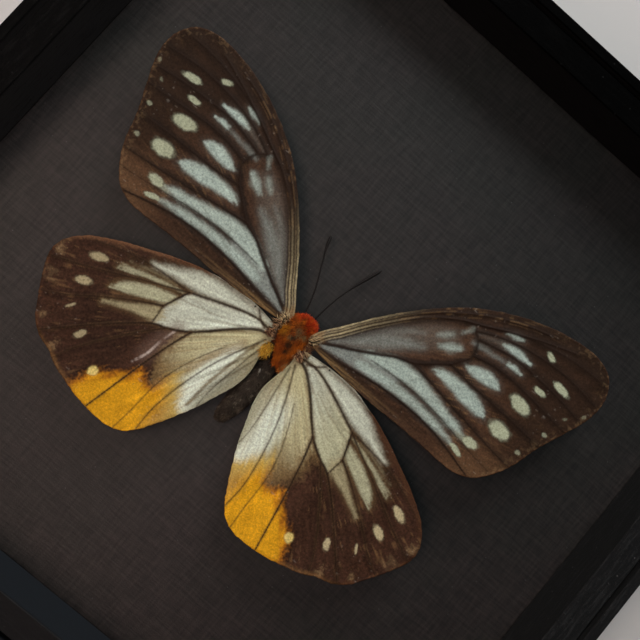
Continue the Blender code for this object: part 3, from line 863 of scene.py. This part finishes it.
def add_body_form(part, form, color, material, rings=40, waists=0):
    """The rounded body under the hair, narrower at each waist."""
    sides = 36
    turn = np.arange(sides) * 2 * math.pi / sides
    verts, colors = [], []
    for ring in range(1, rings):
        place, normal = body_surface(np.full(sides, ring / rings), turn, form)
        x, y, z = place.T
        bulge = 0.1 * noise(x * 2, y * 2 + z, 1.0, 5)
        if waists:
            bulge = bulge - 0.16 * np.abs(np.cos(math.pi * waists * ring / rings)) ** 6
        place = place + normal * bulge[:, None]
        verts.append(place)
        x, y, z = place.T
        tone = 1 + 0.25 * noise(x, y + z, 0.5, 6)
        colors.append(color * FORM_SHADE[part] * tone[:, None])
    verts = np.vstack(verts)
    verts[:, 2] = np.maximum(verts[:, 2], BODY_LOW)
    faces = tube_faces(rings - 1, sides)
    item = mesh_from(f"{part}_form", to_body(verts), faces, material, np.vstack(colors))
    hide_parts(part)
    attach(item, "root")


HAIR_POINTS = 7
HAIR_ROOT_SHADE = 0.75


def hair_mesh(roots, directions, bends, lengths, radii, tones):
    """Tapered, bent three-sided hairs, as vertices, faces and colours."""
    side = unit(np.cross(directions, np.array([0.31, 0.52, 0.79])))
    other = np.cross(directions, side)
    rings = []
    for share, thick in ((0.0, 1.0), (0.5, 0.75)):
        centre = roots + directions * (lengths * share)[:, None] + bends * (lengths * share ** 2)[:, None]
        for k in range(3):
            a = 2 * math.pi * k / 3
            rings.append(centre + (side * math.cos(a) + other * math.sin(a)) * (radii * thick)[:, None])
    tip = roots + directions * lengths[:, None] + bends * lengths[:, None]
    verts = np.stack([*rings, tip], 1).reshape(-1, 3)
    base = np.arange(len(roots)) * HAIR_POINTS
    corners = [(k, (k + 1) % 3, 3 + (k + 1) % 3, 3 + k) for k in range(3)]
    corners += [(3 + k, 3 + (k + 1) % 3, 6) for k in range(3)] + [(2, 1, 0)]
    faces = [face for picks in corners for face in np.stack([base + k for k in picks], 1)]
    colors = np.repeat(tones, HAIR_POINTS, axis=0)
    for k in range(3):
        colors[k::HAIR_POINTS] *= HAIR_ROOT_SHADE
    return verts, faces, colors


def add_hairs(name, place, direction, bend, lengths, radii, tones, material):
    """One piece of hairs, kept clear of the mount board."""
    verts, faces, colors = hair_mesh(place, unit(direction), bend, lengths, radii, tones)
    verts[:, 2] = np.maximum(verts[:, 2], HAIR_LOW)
    item = mesh_from(name, to_body(verts), faces, material, colors)
    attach(item, "root")


def add_fur(part, form, count, length, radius, comb, palette, material, lay):
    """Hair over a body part, lying along the comb's direction. palette gives a colour for each root."""
    # The middle row of draws goes unused.
    lengthwise, _, around = RNG.random((3, count))
    turn = around * math.radians(260) - math.radians(40)
    place, normal = body_surface(np.arccos(1 - 2 * lengthwise) / math.pi, turn, form)
    comb = np.asarray(comb, float)
    direction = normal * (1 - lay) + comb * lay + RNG.normal(0, 0.16, (count, 3))
    bend = comb * 0.35 + RNG.normal(0, 0.12, (count, 3))
    lengths = length * (0.6 + 0.7 * RNG.random(count))
    radii = radius * (0.7 + 0.6 * RNG.random(count))
    tones = palette(place) * (0.72 + 0.56 * RNG.random((count, 1)))
    add_hairs(f"{part}_hair", place, direction, bend, lengths, radii, tones, material)


ORANGE = srgb(190, 104, 24)
RUST = srgb(146, 70, 20)
CROWN_RED = srgb(180, 58, 12)
DARK_MARK = srgb(52, 42, 28)
OLIVE_MARK = srgb(112, 106, 74)
GREY_FUR = srgb(70, 62, 52)
GREY_FLECK = srgb(122, 114, 100)
YELLOW_FUR = srgb(206, 146, 34)
PALE_YELLOW_FUR = srgb(226, 186, 78)
PINK_BEIGE = srgb(190, 154, 116)
PINK_BROWN = srgb(98, 62, 46)
PALE_SCLERITE = srgb(198, 176, 134)
BEIGE_FUR = srgb(150, 120, 78)
ANTENNA_BLACK = srgb(20, 17, 15)


def patch_at(place, x, y, reach):
    """1 at a point of the body seen from above, fading to 0 at reach millimetres."""
    return ease(reach, 0.35 * reach, np.hypot(place[:, 0] - x, place[:, 1] - y))


# (colour, strength, marks as x, y and reach)
FUR_MARKS = (
    (OLIVE_MARK, 0.75, ((0.1, 2.2, 0.8), (0.5, 1.4, 0.7), (1.3, 1.9, 0.6), (-0.3, 0.6, 0.6))),
    (DARK_MARK, 0.9, ((0.2, -0.4, 0.9), (0.1, 0.8, 0.6), (0.5, -1.6, 0.5), (-0.8, 1.5, 0.5))),
)


def fur_palette(place):
    """Orange fur: a red crown in front and on the right, dark and olive marks along the middle."""
    x, y, _ = place.T
    color = mix(ORANGE, RUST, 0.9 * ease(-0.2, 0.5, noise(x, y, 0.9, 3)))
    color = mix(color, DARK_MARK, 0.5 * ease(0.3, 0.6, noise(x / 0.5, y, 1.0, 14)))
    color = mix(color, CROWN_RED, ease(3.0, 4.3, y + 0.4 * x + 0.9 * noise(x, y, 0.7, 8)))
    color = mix(color, ORANGE, 0.45 * ease(0.2, 0.7, noise(x, y, 0.4, 12)))
    color = mix(color, YELLOW_FUR, 0.6 * patch_at(place, -1.9, 1.0, 1.3))
    for tint, strength, marks in FUR_MARKS:
        for mark in marks:
            color = mix(color, tint, strength * patch_at(place, *mark))
    return color


def abdomen_palette(place):
    x, y, _ = place.T
    color = GREY_FUR * (1 + 0.4 * noise(x, y, 0.8, 4))[:, None]
    return mix(color, GREY_FLECK, 0.7 * ease(0.45, 0.7, noise(x, y, 0.45, 9)))


def add_tuft(name, centre, size, count, length, radius, comb, first, second, material):
    """Loose hairs of two colours on an oval patch beside the body."""
    spread = RNG.normal(0, 0.45, (count, 3))
    place = np.array(centre) + np.clip(spread, -1, 1) * np.array(size)
    direction = np.array(comb, float) + RNG.normal(0, 0.35, (count, 3))
    bend = RNG.normal(0, 0.2, (count, 3))
    lengths = length * (0.5 + 0.8 * RNG.random(count))
    radii = radius * (0.7 + 0.7 * RNG.random(count))
    chosen = np.where(RNG.random((count, 1)) < 0.55, first, second)
    tones = chosen * (0.5 + 0.9 * RNG.random((count, 1)))
    add_hairs(name, place, direction, bend, lengths, radii, tones, material)


# (name, middle, half sizes, hairs, length, radius, combed towards, the two colours)
TUFTS = (
    ("tuft_yellow", (-2, -3.5, 4.2), (0.8, 1.2, 0.6), 900, 0.9, 0.05, (-0.25, -0.8, 0.5),
     PALE_YELLOW_FUR, YELLOW_FUR),
    ("tuft_tail", (0.8, -3.9, 3.4), (0.8, 0.7, 0.6), 500, 0.9, 0.05, (0, -0.9, 0.2), ORANGE, RUST),
    ("tuft_left_front", (-2.8, 1.9, 4.9), (0.7, 0.8, 0.3), 180, 1.1, 0.09, (-0.6, 0.3, 0.4),
     PALE_SCLERITE, DARK_MARK),
    ("tuft_left_root", (-3.2, 0.8, 4.9), (0.7, 0.7, 0.3), 160, 1, 0.09, (-0.7, -0.3, 0.4),
     PINK_BEIGE, DARK_MARK),
    ("tuft_left_middle", (-3, -1, 4.7), (0.9, 0.7, 0.3), 200, 0.9, 0.07, (-0.9, -0.2, 0.4),
     PINK_BROWN, PINK_BEIGE),
    ("tuft_left_dark", (-1.7, -2.1, 4.1), (0.5, 0.9, 0.3), 260, 0.8, 0.06, (-0.4, -0.7, 0.3),
     DARK_MARK, RUST * 0.5),
    ("tuft_right_front", (2.7, 2.4, 5.1), (0.5, 0.9, 0.2), 160, 1, 0.06, (0.9, 0.3, 0.3),
     PALE_SCLERITE, DARK_MARK),
    ("tuft_right_middle", (2.5, -0.9, 4.8), (0.8, 0.8, 0.3), 260, 0.9, 0.06, (0.8, -0.5, 0.4),
     PINK_BROWN, PINK_BEIGE),
    ("tuft_right_dark", (2.9, 1.1, 4.6), (0.6, 0.9, 0.3), 240, 0.8, 0.06, (0.8, -0.2, 0.3),
     BEIGE_FUR, PINK_BROWN),
    ("tuft_right_rear", (1.9, -3.6, 4), (0.5, 1.3, 0.2), 300, 0.9, 0.045, (0.1, -0.9, 0.2),
     ORANGE, BEIGE_FUR),
    ("tuft_right_pale", (3.2, -0.1, 4.8), (0.5, 0.4, 0.2), 120, 0.8, 0.08, (0.8, 0.1, 0.3),
     PALE_SCLERITE, PINK_BROWN),
    ("stray_hairs", (-0.8, -6.8, 3.3), (0.1, 0.1, 0.05), 3, 1.2, 0.05, (1.8, -2.3, 0.2), DUST, WHITE * 0.8),
)


def add_body(hair):
    add_body_form("thorax", THORAX_FORM, RUST, hair)
    add_fur("thorax", THORAX_FORM, 6000, 0.72, 0.045, (-0.1, -0.9, 0.15), fur_palette, hair, 0.5)
    add_body_form("head", HEAD_FORM, CROWN_RED, hair)
    add_fur("head", HEAD_FORM, 3600, 0.5, 0.045, (0.0, 0.3, 0.35), fur_palette, hair, 0.35)
    add_body_form("abdomen", ABDOMEN_FORM, GREY_FUR, hair, rings=80, waists=7)
    add_fur("abdomen", ABDOMEN_FORM, 6500, 0.5, 0.035, (0.0, -0.95, 0.0), abdomen_palette, hair, 0.65)
    for tuft in TUFTS:
        add_tuft(*tuft, hair)


ANTENNAE = {
    "left": ((-1, 4.6, 4.2), (-2.4, 9, 3.6), (-4.3, 13, 2.8), (-5.7, 16, 2.3), (-6.4, 18, 2)),
    "right": ((0.7, 4.6, 4.2), (1, 8, 3.7), (1.5, 11.1, 3.2), (2.5, 14.8, 2.5), (4, 19.2, 2)),
}
# Millimetres, apart from the ring's depth, which is a share of the radius.
THREAD_RADIUS = 0.16
CLUB_GAIN = 0.14
RING_DEPTH = 0.12


def add_antenna(side, material):
    """A ringed thread that thickens into a slim club."""
    line = smooth_curve(ANTENNAE[side], 24)
    count, sides = len(line), 10
    tangent = unit(np.gradient(line, axis=0))
    across = unit(np.cross(tangent, np.array([0.0, 0.0, 1.0])))
    upward = np.cross(across, tangent)
    verts = []
    for number in range(count):
        along = number / (count - 1)
        radius = THREAD_RADIUS + CLUB_GAIN * ease(0.6, 0.85, along) * (1 - 0.75 * ease(0.93, 1.0, along))
        radius = radius * (1 - RING_DEPTH * (number % 2))
        for k in range(sides):
            a = 2 * math.pi * k / sides
            outward = across[number] * math.cos(a) + upward[number] * math.sin(a)
            verts.append(line[number] + outward * radius)
    faces = tube_faces(count, sides, outward=False)
    tone = np.broadcast_to(ANTENNA_BLACK, (len(verts), 3))
    item = mesh_from(f"antenna_{side}_thread", to_body(verts), faces, material, tone)
    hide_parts(f"antenna_{side}")
    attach(item, "root")


# ---- box, floor, light and camera ----

# The tones differ from side to side partly as painted light and shade: the left side's paler wall is painted
# light, the bottom side's blue tint is painted cool light, and the right side's paler rim and flecks are
# partly real wear and partly painted light.
# Each side's grain direction, paint on the inner wall, on the rim and in the flecks, wear and gloss.
BOX_SIDES = {
    "top": ("x", (0.012, 0.012, 0.012), (0.0006, 0.0006, 0.0006), (0.003, 0.003, 0.003), 0.0, 0.01),
    "left": ("y", (0.05, 0.05, 0.05), (0.0024, 0.0024, 0.0024), (0.01, 0.01, 0.01), 0.0, 0.03),
    "bottom": ("x", (0.016, 0.019, 0.023), (0.006, 0.0062, 0.0066), (0.016, 0.017, 0.018), 0.1, 0.1),
    "right": ("y", (0.013, 0.014, 0.014), (0.0074, 0.0077, 0.0079), (0.036, 0.038, 0.039), 1.0, 0.12),
}


def dress_box():
    """Black strips whose tones from side to side are partly painted light, with more wear on the right side;
    linen on the mount board, a brown back.
    """
    looks = {"mount_board": linen_paper("linen_paper"), "back_board": brown_board("brown_board")}
    for side, paint in BOX_SIDES.items():
        looks[f"liner_{side}"] = painted_wood(f"liner_paint_{side}", *paint)
        looks[f"frame_rail_{side}"] = painted_wood(f"rail_paint_{side}", *paint)
    for node, material in looks.items():
        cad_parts[node].material_slots[0].material = material


CORNERS = {"top_left": (-1, 1), "top_right": (1, 1), "bottom_left": (-1, -1), "bottom_right": (1, -1)}
FILL_HALF_THICK = 0.18 * MM
FILL_SETBACK = 0.15 * MM


def add_joint_fill(strip, corner, material):
    """Black filler in the mitre where two strips meet, set back a little from every face."""
    low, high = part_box(f"{strip}_top")
    toward = np.array(CORNERS[corner], float)
    across = np.array((-toward[1], toward[0])) * FILL_HALF_THICK / math.sqrt(2)
    corners = []
    for reach in (low.y + FILL_SETBACK, high.y - FILL_SETBACK):
        corners += [toward * reach - across, toward * reach + across]
    base, top = low.z + FILL_SETBACK, high.z - FILL_SETBACK
    verts = [(*corners[k], z) for z in (base, top) for k in (0, 1, 3, 2)]
    faces = [(0, 1, 2, 3), (7, 6, 5, 4), (4, 5, 1, 0), (5, 6, 2, 1), (6, 7, 3, 2), (7, 4, 0, 3)]
    item = mesh_from(f"{strip}_fill_{corner}", verts, faces, material, smooth=False)
    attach(item, "root")


def fill_mitres():
    paint = painted_wood("fill_paint", *BOX_SIDES["top"])
    for strip in ("liner", "frame_rail"):
        for corner in CORNERS:
            add_joint_fill(strip, corner, paint)


FLOOR_HALF = 3.0
FLOOR_DEPTH = 0.0002
FLOOR_GREY = (0.6, 0.6, 0.59, 1)


def add_floor():
    verts = [(x * FLOOR_HALF, y * FLOOR_HALF, 0) for x, y in ((-1, -1), (1, -1), (1, 1), (-1, 1))]
    material, _, shader = new_material("floor_grey", 0.8, 0.3)
    shader.inputs["Base Color"].default_value = FLOOR_GREY
    floor = mesh_from("floor", verts, [(0, 1, 2, 3)], material, smooth=False)
    floor.location.z = -FLOOR_DEPTH


# Directions across the lying box as the camera sees it.
VIEW_RIGHT = Vector((0.75, 0.66, 0.0))
VIEW_UP = Vector((-0.654, 0.756, 0.0))


def add_softbox(name, turn, rise, reach, size, watts, color, spread=180, aim=(0.0, 0.0)):
    """A round soft light. turn is its bearing from the view's right and rise its height, in degrees."""
    light = bpy.data.lights.new(name, "AREA")
    light.shape = "DISK"
    light.size = size
    light.energy = watts
    light.color = color
    light.spread = math.radians(spread)
    item = bpy.data.objects.new(name, light)
    turn, rise = math.radians(turn), math.radians(rise)
    bearing = (VIEW_RIGHT * math.cos(turn) + VIEW_UP * math.sin(turn)).normalized()
    toward = bearing * math.cos(rise) + Vector((0, 0, math.sin(rise)))
    target = VIEW_RIGHT * aim[0] + VIEW_UP * aim[1]
    item.location = toward * reach + Vector((0, 0, BOARD_TOP))
    item.rotation_mode = "QUATERNION"
    item.rotation_quaternion = (toward * reach - target).to_track_quat("Z", "Y")
    bpy.context.scene.collection.objects.link(item)


# The lights' common level, and the left wings' place, right and up in the view, that two of them aim at.
LEVEL = 2.1
LEFT_WINGS = (-0.03, 0.012)
WORLD_COLOR = (0.9, 0.96, 1.0, 1)
WORLD_STRENGTH = 0.03


def add_light():
    add_softbox("window", 60, 30, 0.5, 0.28, 0.92 * LEVEL, (1.0, 1.0, 1.0))
    add_softbox("lamp", 150, 62, 0.4, 0.2, 0.0134 * LEVEL, (1.25, 0.95, 0.8), 40, LEFT_WINGS)
    add_softbox("ceiling", 90, 90, 0.5, 0.3, 0.124 * LEVEL, (0.85, 1.05, 1.1))
    add_softbox("near", 210, 62, 0.18, 0.09, 0.0224 * LEVEL, (1.35, 0.88, 0.77), 180, LEFT_WINGS)
    world = bpy.data.worlds.new("studio")
    bpy.context.scene.world = world
    world.use_nodes = True
    background = world.node_tree.nodes["Background"]
    background.inputs["Color"].default_value = WORLD_COLOR
    background.inputs["Strength"].default_value = WORLD_STRENGTH
    bpy.context.scene.view_settings.view_transform = "Standard"


CAMERA_PLACE = Vector((-3.85, -3.68, 129.4)) * MM
CAMERA_LOOK = Vector((0.0575, 0.0777, -0.9953))
CAMERA_UP = Vector((-0.6539, 0.7563, 0.0212))
CAMERA_LENS = 42.2
CAMERA_SHIFT = -0.047
CAMERA_SENSOR = 36.0
CAMERA_CLIP = 0.005


def add_camera():
    camera = bpy.data.cameras.new("camera")
    camera.lens = CAMERA_LENS
    camera.sensor_width = CAMERA_SENSOR
    camera.shift_x = CAMERA_SHIFT
    camera.clip_start = CAMERA_CLIP
    item = bpy.data.objects.new("camera", camera)
    back = -CAMERA_LOOK.normalized()
    right = CAMERA_UP.cross(back).normalized()
    up = back.cross(right)
    turn = Matrix((right, up, back)).transposed().to_4x4()
    item.matrix_world = Matrix.Translation(CAMERA_PLACE + Vector((0, 0, BOARD_TOP))) @ turn
    bpy.context.scene.collection.objects.link(item)
    bpy.context.scene.camera = item


dress_box()
fill_mitres()
for wing_kind in ("fore", "hind"):
    scaly = wing_material(f"{wing_kind}wing_scales")
    wing_shape = wing_points(wing_kind)
    for wing_side in ("left", "right"):
        add_wing(wing_kind, wing_side, wing_shape, scaly)
body_hair = hair_material("body_hair")
add_body(body_hair)
horn = hair_material("antenna_horn", 0.6)
for antenna_side in ("left", "right"):
    add_antenna(antenna_side, horn)
add_floor()
add_light()
add_camera()
